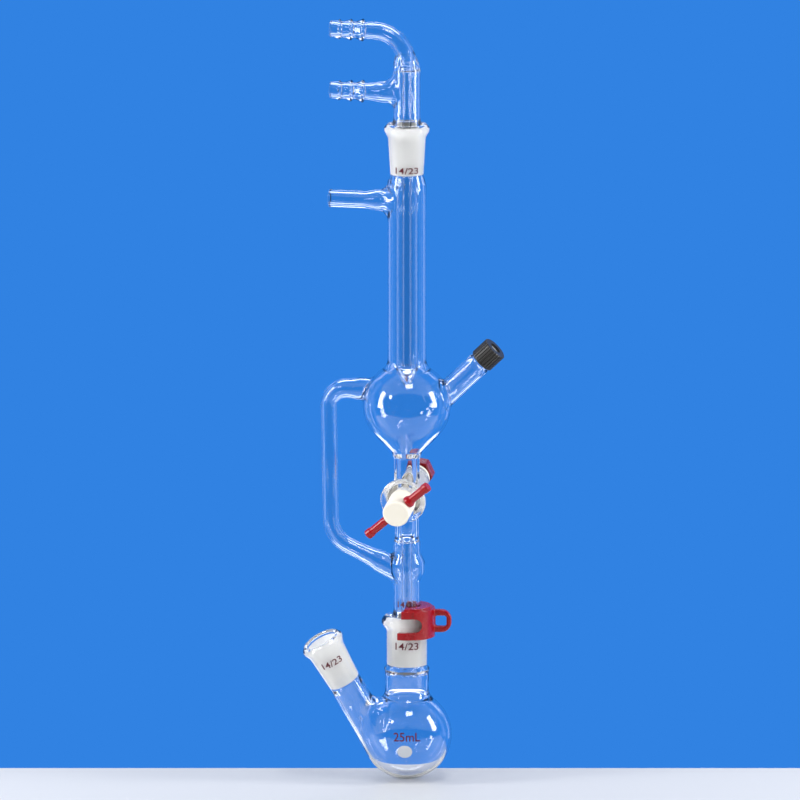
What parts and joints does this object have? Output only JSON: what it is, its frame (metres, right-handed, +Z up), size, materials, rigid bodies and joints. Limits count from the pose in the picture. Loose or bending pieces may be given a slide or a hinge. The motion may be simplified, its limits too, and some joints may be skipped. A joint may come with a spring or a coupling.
{
  "type": "distillation receiver",
  "caption": "Upright glass distillation receiver with bypass arm, stopcock and cold finger on a small two-neck flask.",
  "frame": {"origin": "on the column's axis, at the lowest point of the flask", "axes": "+Z up along the column; +X towards the screw port; -Y towards the stopcock's front"},
  "size_m": [0.0882, 0.0599, 0.3476],
  "materials": {
    "flask_glass": "clear blown borosilicate glass, ground joint zones",
    "receiver_glass": "clear blown borosilicate glass, ground joint zones",
    "finger_glass": "clear blown borosilicate glass, ground joint zone",
    "ptfe": "turned PTFE, waxy white",
    "red_plastic": "moulded red plastic, glossy",
    "ring_rubber": "moulded rubber ring",
    "black_plastic": "moulded black plastic, satin",
    "septum_silicone": "silicone disc, grey",
    "clip_plastic": "moulded red plastic, glossy"
  },
  "bodies": {
    "receiver": {"receiver_glass": "receiver_glass"},
    "cold_finger": {"cold_finger": "finger_glass"},
    "flask": {"flask": "flask_glass"},
    "joint_clip": {"joint_clip": "clip_plastic"},
    "stopcock": {"stopcock_plug": "ptfe", "stopcock_handle": "red_plastic", "stopcock_washer": "ptfe"},
    "stopcock_o_ring": {"stopcock_o_ring": "ring_rubber"},
    "stopcock_nut": {"stopcock_nut": "red_plastic"},
    "port_septum": {"port_septum": "septum_silicone"},
    "port_cap": {"port_cap": "black_plastic"}
  },
  "joints": [
    {"name": "flask_turn", "type": "hinge", "parent": "receiver", "child": "flask", "pos_m": [0, 0, 0.0636], "axis": [0, 0, 1], "continuous": true},
    {"name": "finger_turn", "type": "hinge", "parent": "receiver", "child": "cold_finger", "pos_m": [0, 0, 0.2898], "axis": [0, 0, 1], "continuous": true},
    {"name": "clip_swivel", "type": "hinge", "parent": "receiver", "child": "joint_clip", "pos_m": [0, 0, 0.0756], "axis": [0, 0, 1], "continuous": true},
    {"name": "stopcock_turn", "type": "hinge", "parent": "receiver", "child": "stopcock", "pos_m": [0, 0, 0.1307], "axis": [0, -0.9781, -0.2079], "continuous": true},
    {"name": "o_ring_slide", "type": "slide", "parent": "stopcock", "child": "stopcock_o_ring", "axis": [0, 0.9781, 0.2079], "range_m": [0, 0.007]},
    {"name": "nut_unscrew", "type": "hinge", "parent": "stopcock_o_ring", "child": "stopcock_nut", "pos_m": [0, 0.02436, 0.13588], "axis": [0, 0.9781, 0.2079], "range_deg": [0, 2520]},
    {"name": "septum_slide", "type": "slide", "parent": "receiver", "child": "port_septum", "axis": [0.7193, 0, 0.6947], "range_m": [0, 0.009]},
    {"name": "cap_unscrew", "type": "hinge", "parent": "port_septum", "child": "port_cap", "pos_m": [0.03741, 0, 0.19612], "axis": [0.7193, 0, 0.6947], "range_deg": [0, 1620]}
  ],
  "couplings": [
    {"joint": "o_ring_slide", "follows": "nut_unscrew", "m_per_rad": 0.00015915},
    {"joint": "septum_slide", "follows": "cap_unscrew", "m_per_rad": 0.00031831}
  ]
}
